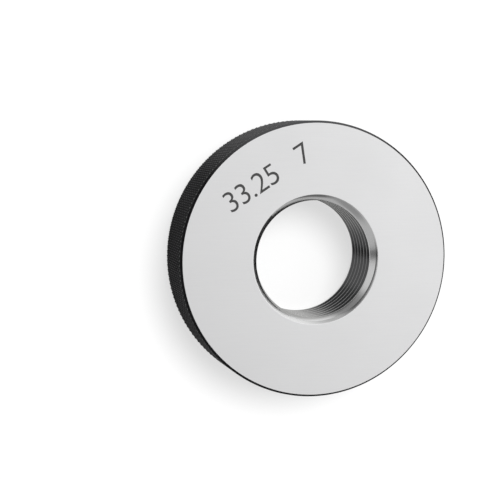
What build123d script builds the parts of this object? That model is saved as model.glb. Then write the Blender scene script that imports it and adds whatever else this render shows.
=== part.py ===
from build123d import *
from build123d.topology import SkipClean
import os
from math import ceil, radians, tan

# Go thread ring gauge for the G 1 pipe thread, in millimetres.
# A hardened steel ring that is screwed onto a finished pipe thread: if it runs on freely, the thread is in size.
# The ring lies on its back face. Z is the axis of its bore, and the marked face looks up.

# The blank, a plain turned disc with a small chamfer round both edges of its rim
outside_diameter = 71.0
thickness = 18.0
rim_chamfer_radial = 0.5
rim_chamfer_axial = 0.7

# The thread: parallel Whitworth form, right-hand, 11 threads to the inch
thread_major_diameter = 33.249
thread_pitch = 25.4 / 11
thread_angle = 55.0
thread_start = 190.0  # where the groove's middle crosses the back face, in degrees round from X

# The lead-in, a countersink at each mouth of the bore, which opens a little wider than the thread's roots
lead_in_angle = 90.0
mouth_relief = 0.05

# Whitworth proportions: crest and root each lose a sixth of the sharp triangle's height
half_angle = radians(thread_angle / 2)
sharp_height = thread_pitch / 2 / tan(half_angle)
truncation = sharp_height / 6
thread_depth = sharp_height - 2 * truncation

# Radii from the bore's axis
outside_radius = outside_diameter / 2
root_radius = thread_major_diameter / 2
crest_radius = root_radius - thread_depth
mouth_radius = root_radius + mouth_relief

# How far the cutters run past the ring's faces
run_out = 2 * thread_pitch


def outline_face(points):
    """The flat face inside these corners, each (radius, height), in the plane through the bore's axis."""
    with BuildSketch(Plane.XZ) as outline:
        with BuildLine():
            Polyline(*points, close=True)
        make_face()
    return outline.sketch


def turned_disc():
    """The blank before boring."""
    chamfered_radius = outside_radius - rim_chamfer_radial
    section = outline_face([
        (0, 0),
        (chamfered_radius, 0),
        (outside_radius, rim_chamfer_axial),
        (outside_radius, thickness - rim_chamfer_axial),
        (chamfered_radius, thickness),
        (0, thickness),
    ])
    return revolve(section, axis=Axis.Z)


def bore_quarters():
    """What boring takes away: a cylinder at the thread's crests that widens into the countersinks.

    It comes in quarters, so that the crests it leaves are faces of a quarter turn each.
    """
    slope = tan(radians(lead_in_angle / 2))
    lead_in_depth = (mouth_radius - crest_radius) / slope
    flared_radius = mouth_radius + run_out * slope
    section = outline_face([
        (0, -run_out),
        (flared_radius, -run_out),
        (crest_radius, lead_in_depth),
        (crest_radius, thickness - lead_in_depth),
        (flared_radius, thickness + run_out),
        (0, thickness + run_out),
    ])
    quarter = revolve(section, axis=Axis.Z, revolution_arc=90)
    return [Rot(Z=90 * number) * quarter for number in range(4)]


def groove_turns():
    """What threading takes away: the helical groove, one turn to a solid.

    Its flanks run from the flat root to an open side that lies half a truncation inside the crests.
    Turns that meet end to end cut more reliably than one long helix.
    """
    open_side = crest_radius - truncation / 2
    half_root = truncation * tan(half_angle)
    half_open = half_root + (root_radius - open_side) * tan(half_angle)
    section = outline_face([
        (open_side, -half_open),
        (root_radius, -half_root),
        (root_radius, half_root),
        (open_side, half_open),
    ])
    path = Helix(pitch=thread_pitch, height=thread_pitch, radius=crest_radius)
    turn = Rot(Z=thread_start) * sweep(section, path=path, is_frenet=True)
    first = -round(run_out / thread_pitch)
    last = ceil((thickness + run_out) / thread_pitch)
    return [Pos(Z=number * thread_pitch) * turn for number in range(first, last)]


def gauge_ring():
    """The finished gauge, one piece of steel: turned, bored, then threaded."""
    with SkipClean():
        ring = turned_disc() - bore_quarters() - groove_turns()
    ring.label = "gauge_ring"
    return ring


os.makedirs("parts", exist_ok=True)
ring = gauge_ring()
export_step(ring, "parts/gauge_ring.step")
print(f"gauge_ring: {len(ring.solids())} solid, {ring.volume:.1f} mm3, bore at the crests {2 * crest_radius:.3f} mm")
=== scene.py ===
# %% [markdown]
# # A thread ring gauge, dressed for its portrait
#
# The real object is one piece of hardened steel: a thick disc with ground faces, a black knurled rim to
# turn it by, and a threaded bore that is screwed onto a pipe to test its thread. The CAD model already
# fixes its size and its thread. This lesson adds what only the eye needs: the knurl's little pyramids,
# the grinding marks, the black finish and the etched figures. Everything is in metres, and the ring lies
# on its back face with Z as the axis of its bore.

# %% Load the frame
from math import ceil, cos, pi, radians, sin, tan, tau

import bmesh
import bpy
from mathutils import Matrix, Vector


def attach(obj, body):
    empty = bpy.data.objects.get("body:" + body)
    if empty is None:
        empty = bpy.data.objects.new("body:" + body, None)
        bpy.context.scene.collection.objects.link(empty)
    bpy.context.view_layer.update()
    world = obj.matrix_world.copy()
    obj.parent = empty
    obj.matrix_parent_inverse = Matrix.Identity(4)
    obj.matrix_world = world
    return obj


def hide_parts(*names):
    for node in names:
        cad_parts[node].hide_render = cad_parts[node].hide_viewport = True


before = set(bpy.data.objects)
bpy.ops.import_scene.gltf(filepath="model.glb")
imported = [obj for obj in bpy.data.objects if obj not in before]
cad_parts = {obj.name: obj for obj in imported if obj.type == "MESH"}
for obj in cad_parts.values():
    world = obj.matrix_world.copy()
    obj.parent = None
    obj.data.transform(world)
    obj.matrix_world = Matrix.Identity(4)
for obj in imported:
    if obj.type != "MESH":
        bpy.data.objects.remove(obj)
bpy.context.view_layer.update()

# %% [markdown]
# ## The gauge's measures
#
# A maker works from a drawing, and so does this script. The numbers below are the ones the CAD part was
# cut with, so that each new surface lands on the old one. Working in millimetres and multiplying once by
# MM keeps them readable.

# %% Measures
MM = 0.001
outer_radius = 35.5 * MM
thickness = 18.0 * MM
chamfer_inwards = 0.5 * MM
chamfer_down = 0.7 * MM

pitch = 25.4 / 11 * MM
half_angle = radians(27.5)
sharp_height = pitch / 2 / tan(half_angle)
truncation = sharp_height / 6
root_radius = 33.249 / 2 * MM
crest_radius = root_radius - (sharp_height - 2 * truncation)
mouth_relief = 0.05 * MM
mouth_radius = root_radius + mouth_relief
thread_start = radians(190)
hair = 0.001 * MM  # corners that lie closer than this count as one
print(f"bore {2 * crest_radius / MM:.2f} mm over the crests, {2 * root_radius / MM:.2f} mm in the roots")

# %% [markdown]
# ## The camera first
#
# The camera decides which details matter, so it is set before anything is built. It hangs almost straight
# above the ring, a little to the left and a little beyond it, so that the marked face is nearly round and
# a crescent of the rim shows on one side. A long lens, 105 mm, keeps the far edge of the bore from
# shrinking too much. The camera is aimed beside the ring, which leaves it on the right of the picture.

# %% Camera
camera_place = Vector((-107.95, 34.95, 357.71)) * MM
camera_aim = Vector((-20.184, 5.287, 17.98)) * MM
camera_roll = radians(0.585)

forward = (camera_aim - camera_place).normalized()
right = forward.cross(Vector((0, 1, 0))).normalized()
up = right.cross(forward)
axes = Matrix((right, up, -forward)).transposed()
camera_data = bpy.data.cameras.new("camera")
camera_data.lens = 104.88
camera_data.sensor_width = 36.0
camera_data.clip_start = 0.01
camera = bpy.data.objects.new("camera", camera_data)
bpy.context.scene.collection.objects.link(camera)
rolled_axes = axes @ Matrix.Rotation(camera_roll, 3, "Z")
camera.matrix_world = Matrix.Translation(camera_place) @ rolled_axes.to_4x4()
bpy.context.scene.camera = camera
print("camera", round((camera_aim - camera_place).length, 3), "m from what it looks at")

# %% [markdown]
# ## Turning a shape
#
# Nearly every surface here was made on a lathe, so one helper does what a lathe does: it spins a section
# round the axis. `bmesh.ops.spin` with `use_merge` welds the last step to the first. The section is a
# closed loop of corners, each given as a radius and a height.

# %% A lathe
def turned(section, steps):
    """A closed ring-shaped bmesh: the section's corners, each (radius, height), spun once round Z."""
    bm = bmesh.new()
    corners = [bm.verts.new((radius, 0, height)) for radius, height in section]
    edges = [bm.edges.new(pair) for pair in zip(corners, corners[1:] + corners[:1])]
    bmesh.ops.spin(bm, geom=corners + edges, cent=(0, 0, 0), axis=(0, 0, 1), angle=tau, steps=steps,
                   use_merge=True)
    bmesh.ops.recalc_face_normals(bm, faces=bm.faces)
    return bm


def to_object(bm, name):
    """Puts a bmesh into a new object at the origin and frees it."""
    mesh = bpy.data.meshes.new(name)
    bm.to_mesh(mesh)
    bm.free()
    obj = bpy.data.objects.new(name, mesh)
    bpy.context.scene.collection.objects.link(obj)
    return obj


# %% [markdown]
# ## The blank
#
# The real ring starts as a disc that is bored, countersunk at both mouths of the bore and chamfered round
# its rim. Eight corners describe that section. The rim is left a fifth of a millimetre too big, because
# the knurl cuts it to size afterwards. No turned edge is truly sharp, so the edges that catch the light
# get a tiny rounding with `bmesh.ops.bevel`, which is given affect, segments, a profile of 0.5 and a
# material of -1.

# %% The blank: bored, countersunk and chamfered
lathe_steps = 256
knurl_stock = 0.2 * MM  # left on the rim for the knurl to cut away
face_radius = outer_radius - chamfer_inwards
rough_radius = outer_radius + knurl_stock
rough_chamfer = (chamfer_inwards + knurl_stock) * chamfer_down / chamfer_inwards  # on the same slope
lead_in = mouth_radius - crest_radius  # a 90 degree countersink goes as deep as it is wide
blank = turned([
    (crest_radius, lead_in),
    (mouth_radius, 0),
    (face_radius, 0),
    (rough_radius, rough_chamfer),
    (rough_radius, thickness - rough_chamfer),
    (face_radius, thickness),
    (mouth_radius, thickness),
    (crest_radius, thickness - lead_in),
], steps=lathe_steps)
print("blank:", len(blank.faces), "faces")

# %% Break its sharp edges
def break_edge(bm, radius, height, width):
    """Rounds the one ring of edges that lies at this radius and height."""
    def away(corner):
        return abs(corner.co.xy.length - radius) + abs(corner.co.z - height)

    sharp = [edge for edge in bm.edges if all(away(corner) < hair for corner in edge.verts)]
    bmesh.ops.bevel(bm, geom=sharp, offset=width, offset_type="OFFSET", affect="EDGES", segments=3,
                    profile=0.5, material=-1, clamp_overlap=True)
    print(f"broke {len(sharp)} edges at {radius / MM:.2f} mm by {width / MM:.2f} mm")


mouth_break = 0.12 * MM
face_break = 0.08 * MM
for height in (0, thickness):
    break_edge(blank, mouth_radius, height, mouth_break)
    break_edge(blank, face_radius, height, face_break)
ring = to_object(blank, "ring")

# %% [markdown]
# ## The knurl
#
# A knurling tool rolls two crossing sets of V grooves into the rim, and what stands between them is a
# field of small pyramids. It could be faked with a bump texture, but the outline of the ring shows its
# teeth, so it is real mesh. One pyramid is a four-sided cone with its tip cut off: `create_cone` with
# four segments makes it. Spin copies it round the rim without joining the copies, and a few moved copies
# of that row, every other one shifted by half a tooth, fill the rim's height. Then the corners are
# welded.

# %% One row of pyramids
teeth_round = 178
knurl_depth = 0.38 * MM
tip_share = 0.14  # width of the flat tip over the width of the pyramid
groove_lean = radians(30)  # from the axis
half_tooth_turn = pi / teeth_round
valley_radius = outer_radius - knurl_depth
half_tooth = valley_radius * tan(half_tooth_turn)
half_tall = half_tooth / tan(groove_lean)
corner_gap = 0.03 * MM  # the corners of neighbouring pyramids lie closer than this

knurl = bmesh.new()
cone = bmesh.ops.create_cone(knurl, cap_ends=True, segments=4, radius1=1.0, radius2=tip_share, depth=1.0)
base = [face for face in knurl.faces if face.normal.z < 0]
bmesh.ops.delete(knurl, geom=base, context="FACES_ONLY")
onto_its_base = Matrix.Translation((0, 0, 0.5))
to_size = Matrix.Diagonal((half_tooth, half_tall, knurl_depth, 1))
onto_the_rim = Matrix((  # its tip looks out along X
    (0, 0, 1, valley_radius),
    (1, 0, 0, 0),
    (0, 1, 0, 0),
    (0, 0, 0, 1),
))
bmesh.ops.transform(knurl, matrix=onto_the_rim @ to_size @ onto_its_base, verts=cone["verts"])
bmesh.ops.spin(knurl, geom=list(knurl.faces), cent=(0, 0, 0), axis=(0, 0, 1), angle=tau, steps=teeth_round,
               use_duplicate=True)
bmesh.ops.remove_doubles(knurl, verts=knurl.verts, dist=corner_gap)
print("one row:", len(knurl.faces), "faces")

# %% All the rows, welded
row = list(knurl.faces)
rows_up = ceil(thickness / half_tall) + 2
for number in range(1, rows_up + 1):
    copy = bmesh.ops.duplicate(knurl, geom=row)["geom"]
    moved = [part for part in copy if isinstance(part, bmesh.types.BMVert)]
    turn = Matrix.Rotation(half_tooth_turn * number, 3, "Z")
    bmesh.ops.rotate(knurl, verts=moved, cent=(0, 0, 0), matrix=turn)
    bmesh.ops.translate(knurl, verts=moved, vec=(0, 0, half_tall * number))
bmesh.ops.translate(knurl, verts=knurl.verts, vec=(0, 0, -half_tall))
bmesh.ops.remove_doubles(knurl, verts=knurl.verts, dist=corner_gap)
print(rows_up + 1, "rows:", len(knurl.faces), "faces")

# %% Cut to length, with a plain land at the front
overhang = 0.3 * MM
land_height = 1.05 * MM  # of the plain stretch at the front, part of which the chamfer takes
for height, outwards in ((-overhang, -1), (thickness + overhang, 1)):
    whole = knurl.verts[:] + knurl.edges[:] + knurl.faces[:]
    bmesh.ops.bisect_plane(knurl, geom=whole, plane_co=(0, 0, height), plane_no=(0, 0, outwards),
                           clear_outer=True)
for corner in knurl.verts:
    if corner.co.z > thickness - land_height:
        corner.co.xy *= outer_radius / corner.co.xy.length
ends = [edge for edge in knurl.edges if edge.is_boundary]
bmesh.ops.holes_fill(knurl, edges=ends, sides=0)
bmesh.ops.recalc_face_normals(knurl, faces=knurl.faces)
open_edges = sum(not edge.is_manifold for edge in knurl.edges)
knurled_bar = to_object(knurl, "knurled_bar")
print("knurled bar:", len(knurled_bar.data.polygons), "faces,", open_edges, "open edges")

# %% [markdown]
# ## The thread
#
# A right-hand thread is a groove that climbs one pitch for each turn. The groove's section has four
# corners, and `spin` with `dvec` climbs a little at each step, so the result is a long helical tool. A
# Boolean modifier then takes the tool away from the blank, as a tap does. The same corners cut the CAD
# part, so the two agree.

# %% A tap
steps_a_turn = 144
turns_past = 2  # beyond each face, so that the groove runs out through it
turns = ceil(thickness / pitch) + 2 * turns_past
open_side = crest_radius - truncation / 2
half_root = truncation * tan(half_angle)
half_open = half_root + (root_radius - open_side) * tan(half_angle)
groove = (
    (open_side, -half_open),
    (root_radius, -half_root),
    (root_radius, half_root),
    (open_side, half_open),
)

tap = bmesh.new()
section = [tap.verts.new((radius, 0, height - turns_past * pitch)) for radius, height in groove]
start_face = tap.faces.new(section)
bmesh.ops.rotate(tap, verts=tap.verts, cent=(0, 0, 0), matrix=Matrix.Rotation(thread_start, 3, "Z"))
bmesh.ops.spin(tap, geom=tap.verts[:] + tap.edges[:] + [start_face], cent=(0, 0, 0), axis=(0, 0, 1),
               dvec=(0, 0, pitch / steps_a_turn), angle=tau * turns, steps=steps_a_turn * turns)
ends = [edge for edge in tap.edges if edge.is_boundary]
bmesh.ops.holes_fill(tap, edges=ends, sides=4)
bmesh.ops.recalc_face_normals(tap, faces=tap.faces)
top = max(corner.co.z for corner in tap.verts)
open_edges = sum(not edge.is_manifold for edge in tap.edges)
thread_tap = to_object(tap, "thread_tap")
print(f"tap: {len(thread_tap.data.polygons)} faces, {open_edges} open edges, up to {top / MM:.2f} mm")

# %% Cut the blank with both tools
def machined(obj, tool, operation):
    """Applies an exact Boolean of the tool to the object's mesh and throws the tool away."""
    cut = obj.modifiers.new("cut", "BOOLEAN")
    cut.operation = operation
    cut.solver = "EXACT"
    cut.object = tool
    bpy.context.view_layer.update()
    depsgraph = bpy.context.evaluated_depsgraph_get()
    result = bpy.data.meshes.new_from_object(obj.evaluated_get(depsgraph))
    obj.modifiers.remove(cut)
    obj.data = result
    bpy.data.objects.remove(tool)
    print(operation.lower() + ":", len(result.polygons), "faces")


machined(ring, knurled_bar, "INTERSECT")
machined(ring, thread_tap, "DIFFERENCE")

# %% [markdown]
# ## Cleaning up after the cuts
#
# A Boolean leaves pairs of corners that lie a hair apart, and faces with many corners where the cutters
# crossed. The corners are welded, and the many-sided faces are cut into triangles here, by the careful
# method, because a simple exporter may cut them into slivers. Then it is counted whether the skin is
# closed.

# %% Weld and tidy the cut ring
cleaned = bmesh.new()
cleaned.from_mesh(ring.data)
before = len(cleaned.verts)
bmesh.ops.remove_doubles(cleaned, verts=cleaned.verts, dist=hair)
many_sided = [face for face in cleaned.faces if len(face.verts) > 4]
bmesh.ops.triangulate(cleaned, faces=many_sided, ngon_method="BEAUTY")
open_edges = sum(not edge.is_manifold for edge in cleaned.edges)
print("welded", before - len(cleaned.verts), "double corners")
print("ring:", len(cleaned.faces), "faces,", open_edges, "open edges")
cleaned.to_mesh(ring.data)
cleaned.free()

# %% [markdown]
# ## Which face gets which finish
#
# After the cuts the ring is one closed mesh. What tells its surfaces apart is where they lie and which
# way they look. The rim, its chamfers and their rounded edges were blackened before the faces were
# ground, so everything that slopes out there is black. Everything that slopes inside the mouths is the
# bore, and its countersinks share the thread's finish. The level faces that are left are ground. Each
# face gets the number of its material, and edges sharper than 25 degrees stay sharp under smooth shading.
# The level faces are shaded flat, because smooth shading would bend their light towards the rounded
# edges.

# %% Number the finishes
GROUND, BLACK, THREAD = 0, 1, 2
level = 0.999  # the upright share of a normal, from which its face counts as level
sloping = 0.95  # the same share, below which a face in the bore counts as sloping
for number in range(3):
    ring.data.materials.append(None)
counts = [0, 0, 0]
for face in ring.data.polygons:
    radius = face.center.xy.length
    upright = abs(face.normal.z)
    if radius > face_radius - face_break and upright < level:
        face.material_index = BLACK
    elif radius < mouth_radius + mouth_break and upright < sloping:
        face.material_index = THREAD
    else:
        face.material_index = GROUND
    counts[face.material_index] += 1
ring.data.shade_smooth()
ring.data.set_sharp_from_angle(angle=radians(25))
for face in ring.data.polygons:
    face.use_smooth = abs(face.normal.z) < level
print("faces ground, black, threaded:", counts)

# %% [markdown]
# ## The marking
#
# Gauges are etched with the size of their thread, in plain thin figures. Here that is the thread's
# diameter in millimetres, and one more figure beside it. Text objects give clean outlines; a small
# negative offset thins the strokes to an etcher's line. Each becomes a mesh, and then its place on the
# face is applied to the mesh. The figures are let into the steel and stand a hundredth of a millimetre
# above it, so that they don't flicker against the face.

# %% Etched figures
figure_size = 7.7 * MM  # of the type; the figures themselves come out 5 mm tall
stroke_thinning = 0.05 * MM
half_depth = 0.03 * MM  # of the figures, above and below their middle
sunk = 0.02 * MM  # their middle below the face
line_start = Vector((-16.90, 15.57)) * MM
line_angle = radians(33.2)


def figures(text, along):
    """A mesh of these figures, centred so far along the marking's line."""
    curve = bpy.data.curves.new("figures", "FONT")
    curve.body = text
    curve.align_x = "CENTER"
    curve.size = figure_size
    curve.offset = -stroke_thinning
    curve.space_character = 0.95
    curve.extrude = half_depth
    curve.resolution_u = 6
    written = bpy.data.objects.new("figures", curve)
    bpy.context.scene.collection.objects.link(written)
    bpy.context.view_layer.update()
    depsgraph = bpy.context.evaluated_depsgraph_get()
    mesh = bpy.data.meshes.new_from_object(written.evaluated_get(depsgraph))
    bpy.data.objects.remove(written)
    place = line_start + Vector((cos(line_angle), sin(line_angle))) * along
    onto_the_face = Matrix.Translation((*place, thickness - sunk))
    mesh.transform(onto_the_face @ Matrix.Rotation(line_angle, 4, "Z"))
    return mesh


marks = bmesh.new()
for text, along in (("33.25", 1.2 * MM), ("7", 17.0 * MM)):
    marks.from_mesh(figures(text, along))
bmesh.ops.remove_doubles(marks, verts=marks.verts, dist=hair)
bmesh.ops.recalc_face_normals(marks, faces=marks.faces)
marking = to_object(marks, "marking")
places = [corner.co for corner in marking.data.vertices]
sides = [max(along) - min(along) for along in zip(*places)]
print("marking:", len(marking.data.polygons), "faces,", [round(side / MM, 2) for side in sides], "mm")

# %% [markdown]
# ## Helpers for the finishes
#
# Every finish is a Principled BSDF with a few nodes in front of it. Three helpers keep the node code
# short: one adds a node and sets its sockets, one draws the links, and one starts a material.

# %% Node helpers
def add(tree, kind, values=None, **settings):
    """Adds a shader node: values go to its sockets, settings to the node itself."""
    made = tree.nodes.new("ShaderNode" + kind)
    for name, setting in settings.items():
        setattr(made, name, setting)
    for socket, value in (values or {}).items():
        made.inputs[socket].default_value = value
    return made


def wire(tree, *links):
    """Draws links, each given as the output and the input that it joins."""
    for source, target in links:
        tree.links.new(source, target)


def between(tree, first, second):
    """A colour mix with its two ends set.

    Its socket 6 is the first colour, 7 the second, and output 2 the result.
    """
    return add(tree, "Mix", {6: (*first, 1), 7: (*second, 1)}, data_type="RGBA")


def fresh_material(name):
    """A new material with only an output and a Principled BSDF, its node tree and that shader."""
    material = bpy.data.materials.new(name)
    material.use_nodes = True
    tree = material.node_tree
    tree.nodes.clear()
    shader = add(tree, "BsdfPrincipled")
    output = add(tree, "OutputMaterial")
    wire(tree, (shader.outputs["BSDF"], output.inputs["Surface"]))
    return material, tree, shader


# %% [markdown]
# ## What every surface of a used tool shares
#
# Steel that is handled is never even: it has a fine grain from its finishing, and wide soft smudges from
# fingers and oil. Both are noise on Object coordinates, so they stay put on the metal. One node group
# gives both as values, and each finish places it with its own scales and decides what they change.

# %% A group for handled metal
def handled_metal():
    """Fine grain and large soft smudges, which every finish of this gauge has in its own measure."""
    group = bpy.data.node_groups.new("handled_metal", "ShaderNodeTree")
    for name, value in (("Grain Scale", 4000.0), ("Smudge Scale", 90.0)):
        socket = group.interface.new_socket(name, in_out="INPUT", socket_type="NodeSocketFloat")
        socket.default_value = value
    for name in ("Grain", "Smudge"):
        group.interface.new_socket(name, in_out="OUTPUT", socket_type="NodeSocketFloat")
    entry = group.nodes.new("NodeGroupInput")
    leave = group.nodes.new("NodeGroupOutput")
    place = add(group, "TexCoord")
    for name, detail in (("Grain", 2.0), ("Smudge", 4.0)):
        noise = add(group, "TexNoise", {"Detail": detail})
        wire(group, (place.outputs["Object"], noise.inputs["Vector"]),
             (entry.outputs[name + " Scale"], noise.inputs["Scale"]),
             (noise.outputs["Fac"], leave.inputs[name]))
    return group


handled = handled_metal()
print("group:", handled.name, "with", len(handled.nodes), "nodes")

# %% [markdown]
# ## Ground steel
#
# The two faces are ground flat on a surface grinder, which leaves fine straight lines all in one
# direction. A noise that is stretched forty times longer than it is wide gives such lines. They change
# the colour by a few percent and feed a very shallow bump. Smudges change the roughness, so that
# reflections are a little uneven, as on a clean tool that has been picked up.

# %% Ground steel
ground_steel, tree, shader = fresh_material("ground_steel")
shader.inputs["Metallic"].default_value = 1.0
place = add(tree, "TexCoord")
stretch = add(tree, "Mapping", {"Rotation": (0, 0, radians(12)), "Scale": (120, 5000, 120)})
lines = add(tree, "TexNoise", {"Scale": 1.0, "Detail": 3.0})
touch = add(tree, "Group", node_tree=handled)
touch.inputs["Smudge Scale"].default_value = 60
colour = between(tree, (0.785, 0.785, 0.79), (0.825, 0.825, 0.83))
rough = add(tree, "MapRange", {"To Min": 0.30, "To Max": 0.42})
bump = add(tree, "Bump", {"Strength": 0.15, "Distance": 0.01 * MM})
wire(tree, (place.outputs["Object"], stretch.inputs["Vector"]),
     (stretch.outputs["Vector"], lines.inputs["Vector"]),
     (lines.outputs["Fac"], colour.inputs["Factor"]),
     (colour.outputs[2], shader.inputs["Base Color"]),
     (touch.outputs["Smudge"], rough.inputs["Value"]),
     (rough.outputs["Result"], shader.inputs["Roughness"]),
     (lines.outputs["Fac"], bump.inputs["Height"]),
     (bump.outputs["Normal"], shader.inputs["Normal"]))
print("ground steel:", len(tree.nodes), "nodes")

# %% [markdown]
# ## Thread steel
#
# The thread is lapped, so it is smoother than the faces. Its colour is lighter round most of the bore and
# dark on the wall that lies towards one side: that lighter part is a painted sheen, and a dot product with
# that direction measures how far round the wall a point is. Inside the bore the thread is darker, and the
# light steel colour shows only near both mouths. The distance from a level inside the bore gives that
# mask, a little nearer the back.

# %% Thread steel
thread_steel, tree, shader = fresh_material("thread_steel")
shader.inputs["Metallic"].default_value = 1.0
place = add(tree, "TexCoord")
touch = add(tree, "Group", node_tree=handled)
touch.inputs["Smudge Scale"].default_value = 160
split = add(tree, "SeparateXYZ")
# The thread is darker round this level and takes the light steel colour only near both mouths.
darker_middle = 8.75 * MM  # above the back face
from_middle = add(tree, "Math", {1: darker_middle}, operation="SUBTRACT")
depth = add(tree, "Math", operation="ABSOLUTE")
lighter_share = add(tree, "MapRange", {"From Min": 6.95 * MM, "From Max": 7.55 * MM},
             interpolation_type="SMOOTHSTEP")
# Painted sheen: the thread is lighter round most of the bore and dark on the wall towards this angle.
darker_wall_angle = radians(-20)
towards_darker_wall = add(tree, "VectorMath", {1: (cos(darker_wall_angle), sin(darker_wall_angle), 0)}, operation="DOT_PRODUCT")
painted_sheen_mask = add(tree, "MapRange", {"From Min": 13.5 * MM, "From Max": 4.0 * MM},
                interpolation_type="SMOOTHSTEP")
# The two tones of the painted sheen: dark on that wall, lighter elsewhere.
painted_sheen_colour = between(tree, (0.09, 0.09, 0.092), (0.33, 0.33, 0.325))
colour = between(tree, (0, 0, 0), (0.70, 0.70, 0.70))
rough = add(tree, "MapRange", {"To Min": 0.14, "To Max": 0.22})
wire(tree, (place.outputs["Object"], split.inputs[0]),
     (split.outputs["Z"], from_middle.inputs[0]),
     (from_middle.outputs[0], depth.inputs[0]),
     (depth.outputs[0], lighter_share.inputs["Value"]),
     (place.outputs["Object"], towards_darker_wall.inputs[0]),
     (towards_darker_wall.outputs["Value"], painted_sheen_mask.inputs["Value"]),
     (painted_sheen_mask.outputs["Result"], painted_sheen_colour.inputs["Factor"]),
     (painted_sheen_colour.outputs[2], colour.inputs[6]),
     (lighter_share.outputs["Result"], colour.inputs["Factor"]),
     (colour.outputs[2], shader.inputs["Base Color"]),
     (touch.outputs["Smudge"], rough.inputs["Value"]),
     (rough.outputs["Result"], shader.inputs["Roughness"]))
print("thread steel:", len(tree.nodes), "nodes")

# %% [markdown]
# ## Black oxide
#
# The rim is blackened in a hot salt bath. The layer is a few thousandths of a millimetre thick, dull and
# nearly black, and hands rub it off the highest points of the knurl first. Those are found by their
# distance from the axis: the tips lie in the last tenth of a millimetre. Smudges decide how far each
# patch is rubbed. The plain land under the front chamfer is as far out as the tips, so a second mask by
# height leaves it black. On one side the black is painted greyer, as a painted sheen: there the direction
# from the axis, made one unit long, agrees with the sheen's direction, and their dot
# product comes near 1.

# %% Black oxide
black_oxide, tree, shader = fresh_material("black_oxide")
shader.inputs["Specular IOR Level"].default_value = 0.02
# Painted sheen: the rim is coloured greyer on the side towards this angle.
sheen_angle = radians(95)
worn_tip = 0.12 * MM
place = add(tree, "TexCoord")
touch = add(tree, "Group", node_tree=handled)
touch.inputs["Grain Scale"].default_value = 4000
touch.inputs["Smudge Scale"].default_value = 90
flatten = add(tree, "VectorMath", {1: (1, 1, 0)}, operation="MULTIPLY")
from_axis = add(tree, "VectorMath", operation="LENGTH")
tips = add(tree, "MapRange", {"From Min": outer_radius - worn_tip, "From Max": outer_radius})
split = add(tree, "SeparateXYZ")
below_land = add(tree, "MapRange", {"From Min": thickness - land_height - 0.1 * MM,
                                    "From Max": thickness - land_height - 0.3 * MM})
outward = add(tree, "VectorMath", operation="NORMALIZE")
towards_sheen = add(tree, "VectorMath", {1: (cos(sheen_angle), sin(sheen_angle), 0)}, operation="DOT_PRODUCT")
rim_sheen_mask = add(tree, "MapRange", {"From Min": 0.62, "From Max": 1.0}, interpolation_type="SMOOTHSTEP")
knurled = add(tree, "Math", operation="MULTIPLY")
lighter_share = add(tree, "Math", operation="MULTIPLY")
black = between(tree, (0.004, 0.004, 0.0044), (0.009, 0.009, 0.0095))
# The greyer black of the painted sheen.
with_rim_sheen = between(tree, (0, 0, 0), (0.053, 0.053, 0.0545))
colour = between(tree, (0, 0, 0), (0.16, 0.16, 0.165))
rough = add(tree, "MapRange", {"To Min": 0.32, "To Max": 0.48})
wire(tree, (place.outputs["Object"], flatten.inputs[0]),
     (flatten.outputs["Vector"], from_axis.inputs[0]),
     (from_axis.outputs["Value"], tips.inputs["Value"]),
     (place.outputs["Object"], split.inputs[0]),
     (split.outputs["Z"], below_land.inputs["Value"]),
     (tips.outputs["Result"], knurled.inputs[0]),
     (below_land.outputs["Result"], knurled.inputs[1]),
     (knurled.outputs[0], lighter_share.inputs[0]),
     (touch.outputs["Smudge"], lighter_share.inputs[1]))
wire(tree, (flatten.outputs["Vector"], outward.inputs[0]),
     (outward.outputs["Vector"], towards_sheen.inputs[0]),
     (towards_sheen.outputs["Value"], rim_sheen_mask.inputs["Value"]),
     (touch.outputs["Smudge"], black.inputs["Factor"]),
     (black.outputs[2], with_rim_sheen.inputs[6]),
     (rim_sheen_mask.outputs["Result"], with_rim_sheen.inputs["Factor"]),
     (with_rim_sheen.outputs[2], colour.inputs[6]),
     (lighter_share.outputs[0], colour.inputs["Factor"]),
     (colour.outputs[2], shader.inputs["Base Color"]),
     (touch.outputs["Grain"], rough.inputs["Value"]),
     (rough.outputs["Result"], shader.inputs["Roughness"]))
print("black oxide:", len(tree.nodes), "nodes")

# %% [markdown]
# ## The etched marking
#
# Electro-etching leaves a matt dark grey that is rougher than the steel round it, and grainy when seen
# close. The grain of the shared group mixes two dark greys. Then every face of the ring gets the material
# of its number.

# %% Etched mark, and every finish in its place
etched_mark, tree, shader = fresh_material("etched_mark")
shader.inputs["Roughness"].default_value = 0.6
touch = add(tree, "Group", node_tree=handled)
touch.inputs["Grain Scale"].default_value = 5000
colour = between(tree, (0.02, 0.02, 0.02), (0.05, 0.05, 0.05))
wire(tree, (touch.outputs["Grain"], colour.inputs["Factor"]),
     (colour.outputs[2], shader.inputs["Base Color"]))

for number, material in ((GROUND, ground_steel), (BLACK, black_oxide), (THREAD, thread_steel)):
    ring.data.materials[number] = material
marking.data.materials.append(etched_mark)
print("finishes:", [material.name for material in (*ring.data.materials, etched_mark)])

# %% [markdown]
# ## The floor
#
# The ring lies on a wide white sheet. A white sheet that is lit fairly comes out light grey in a picture,
# so what the camera and the steel see of it is part paper and part soft glow, found with Light Path. The
# sheet stays an ordinary pale one for all the light that bounces off it, and it keeps the ring's shadow,
# because only a part of it glows.

# %% Floor
sheet_half = 3.0
sheet_gap = 0.02 * MM  # under the ring, so that no two faces coincide
sheet = bmesh.new()
bmesh.ops.create_grid(sheet, x_segments=1, y_segments=1, size=sheet_half)
bmesh.ops.translate(sheet, verts=sheet.verts, vec=(0, 0, -sheet_gap))
floor = to_object(sheet, "floor")

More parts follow.
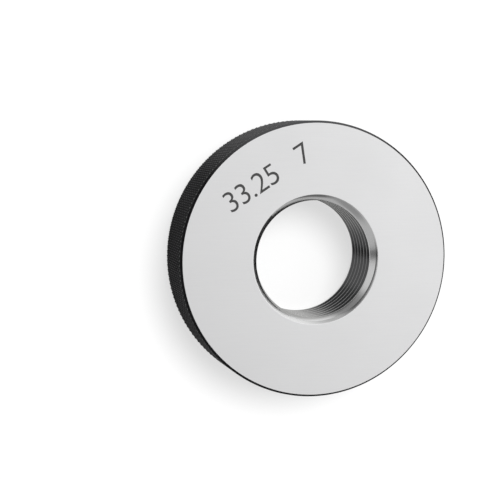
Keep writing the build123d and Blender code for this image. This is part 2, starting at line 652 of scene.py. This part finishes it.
paper = bpy.data.materials.new("paper")
paper.use_nodes = True
tree = paper.node_tree
tree.nodes.clear()
ray = add(tree, "LightPath")
seen = add(tree, "Math", operation="MAXIMUM")
seen_at_all = add(tree, "Math", operation="MAXIMUM")
shade = between(tree, (0.85, 0.85, 0.85), (0.34, 0.34, 0.34))
matt = add(tree, "BsdfDiffuse")
lift = add(tree, "Math", {1: 0.60}, operation="MULTIPLY")
glow = add(tree, "Emission")
both = add(tree, "AddShader")
out = add(tree, "OutputMaterial")
wire(tree, (ray.outputs["Is Camera Ray"], seen.inputs[0]),
     (ray.outputs["Is Glossy Ray"], seen.inputs[1]),
     (seen.outputs[0], seen_at_all.inputs[0]),
     (ray.outputs["Is Transmission Ray"], seen_at_all.inputs[1]),
     (seen_at_all.outputs[0], shade.inputs["Factor"]),
     (shade.outputs[2], matt.inputs["Color"]),
     (seen_at_all.outputs[0], lift.inputs[0]),
     (lift.outputs[0], glow.inputs["Strength"]),
     (matt.outputs[0], both.inputs[0]),
     (glow.outputs[0], both.inputs[1]),
     (both.outputs[0], out.inputs["Surface"]))
floor.data.materials.append(paper)
print("floor:", len(floor.data.polygons), "face")

# %% [markdown]
# ## The studio that the steel mirrors
#
# Polished metal has hardly a look of its own: it shows the room. In a studio it stands between large
# bright walls, with dark cards wherever an edge should be drawn. Here the world is that room. Each part
# of it is a direction, and the cosine between a ray and that direction says how far into the part the ray
# points. One wide soft wall fills the right and the top, and a brighter spot on the left shines in the
# flanks of the thread across from it. Grey cards dim the flanks on either side of that, a low dark card
# draws the lip of the bore, and a lamp's stand is mirrored as a narrow bar across the thread. The
# brightnesses are multiplied. The camera itself sees plain white.

# %% Ways to say where a card stands
world = bpy.data.worlds.new("studio")
bpy.context.scene.world = world
world.use_nodes = True
tree = world.node_tree
tree.nodes.clear()
way = add(tree, "TexCoord")


def facing(direction, start, end, low, high):
    """How bright the studio is by direction: low up to the cosine start, high from end on."""
    towards = add(tree, "VectorMath", {1: Vector(direction).normalized()}, operation="DOT_PRODUCT")
    ramp = add(tree, "MapRange", {"From Min": start, "From Max": end, "To Min": low, "To Max": high},
               interpolation_type="SMOOTHSTEP")
    wire(tree, (way.outputs["Generated"], towards.inputs[0]),
         (towards.outputs["Value"], ramp.inputs["Value"]))
    return ramp.outputs["Result"]


def times(first, *others):
    """The product of brightnesses or masks."""
    for other in others:
        product = add(tree, "Math", operation="MULTIPLY")
        wire(tree, (first, product.inputs[0]), (other, product.inputs[1]))
        first = product.outputs[0]
    return first


def band(direction, start, end, soft):
    """A mask: 1 where the cosine lies between start and end, with soft edges outside that."""
    return times(facing(direction, start - soft, start, 0, 1), facing(direction, end, end + soft, 1, 0))


def card(where, left):
    """A dark card: where the mask is 1, only this much of the light is left."""
    ramp = add(tree, "MapRange", {"To Min": 1.0, "To Max": left})
    wire(tree, (where, ramp.inputs["Value"]))
    return ramp.outputs["Result"]


# %% The walls and cards
soft_wall = facing((0.755, 0.35, 0.55), 0.48, 0.84, 0.58, 1.13)
bright_spot = facing((-0.554, 0.108, 0.825), 0.93, 0.99, 1.0, 1.35)
grey_gap = facing((-0.27, 0.545, 0.79), 0.945, 0.985, 1.0, 0.45)
front_card = facing((0.38, -0.80, 0.47), 0.95, 0.985, 1.0, 0.25)
grey_card = facing((-0.15, -0.80, 0.58), 0.93, 0.99, 1.0, 0.58)
low_side = facing((-0.9135, 0.4067, 0), 0.50, 0.78, 0, 1)
low_card = card(times(low_side, band((0, 0, 1), 0.24, 0.42, 0.10)), 0.14)
stand_side = facing((-1, 0, 0.3), 0.40, 0.60, 0, 1)
lamp_stand = card(times(stand_side, band((0.143, -0.981, -0.132), -0.045, 0.045, 0.04)), 0.03)
studio = times(soft_wall, bright_spot, grey_gap, front_card, grey_card, low_card, lamp_stand)

ray = add(tree, "LightPath")
pick = add(tree, "Mix", {3: 1.0}, data_type="FLOAT")
sky = add(tree, "Background", {"Color": (1, 1, 1, 1)})
out = add(tree, "OutputWorld")
wire(tree, (ray.outputs["Is Camera Ray"], pick.inputs[0]), (studio, pick.inputs[2]),
     (pick.outputs[0], sky.inputs["Strength"]), (sky.outputs[0], out.inputs["Surface"]))
print("studio:", len(tree.nodes), "nodes")

# %% [markdown]
# ## One lamp for the shadow
#
# The walls light the ring from everywhere, so they leave almost no shadow, and without one it would seem
# to float. A sun lamp as wide as a softbox stands high behind it. It lights the whole floor evenly, and
# its shadow fades within a few millimetres. It is hidden from mirror reflections, because the walls
# already draw those.

# %% Softbox
softbox_data = bpy.data.lights.new("softbox", "SUN")
softbox_data.energy = 2.6
softbox_data.angle = radians(32)
softbox = bpy.data.objects.new("softbox", softbox_data)
bpy.context.scene.collection.objects.link(softbox)
softbox.location = (0.14, 0.28, 0.85)
softbox.visible_glossy = False
softbox.rotation_euler = (-softbox.location).to_track_quat("-Z", "Y").to_euler()
print("softbox", round(softbox.location.length, 2), "m away")

# %% [markdown]
# ## Onto the frame
#
# The dressed ring stands for the CAD node of the same part, and the marking rides on it. Both go by the
# body's name. A finish may not change the size.

# %% Put it on the frame and finish
ring.name = ring.data.name = "gauge"
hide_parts("gauge_ring")
for piece, slot in ((ring, "ground_steel"), (marking, "etched_mark")):
    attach(piece, "root")

bpy.context.scene.view_settings.view_transform = "Standard"
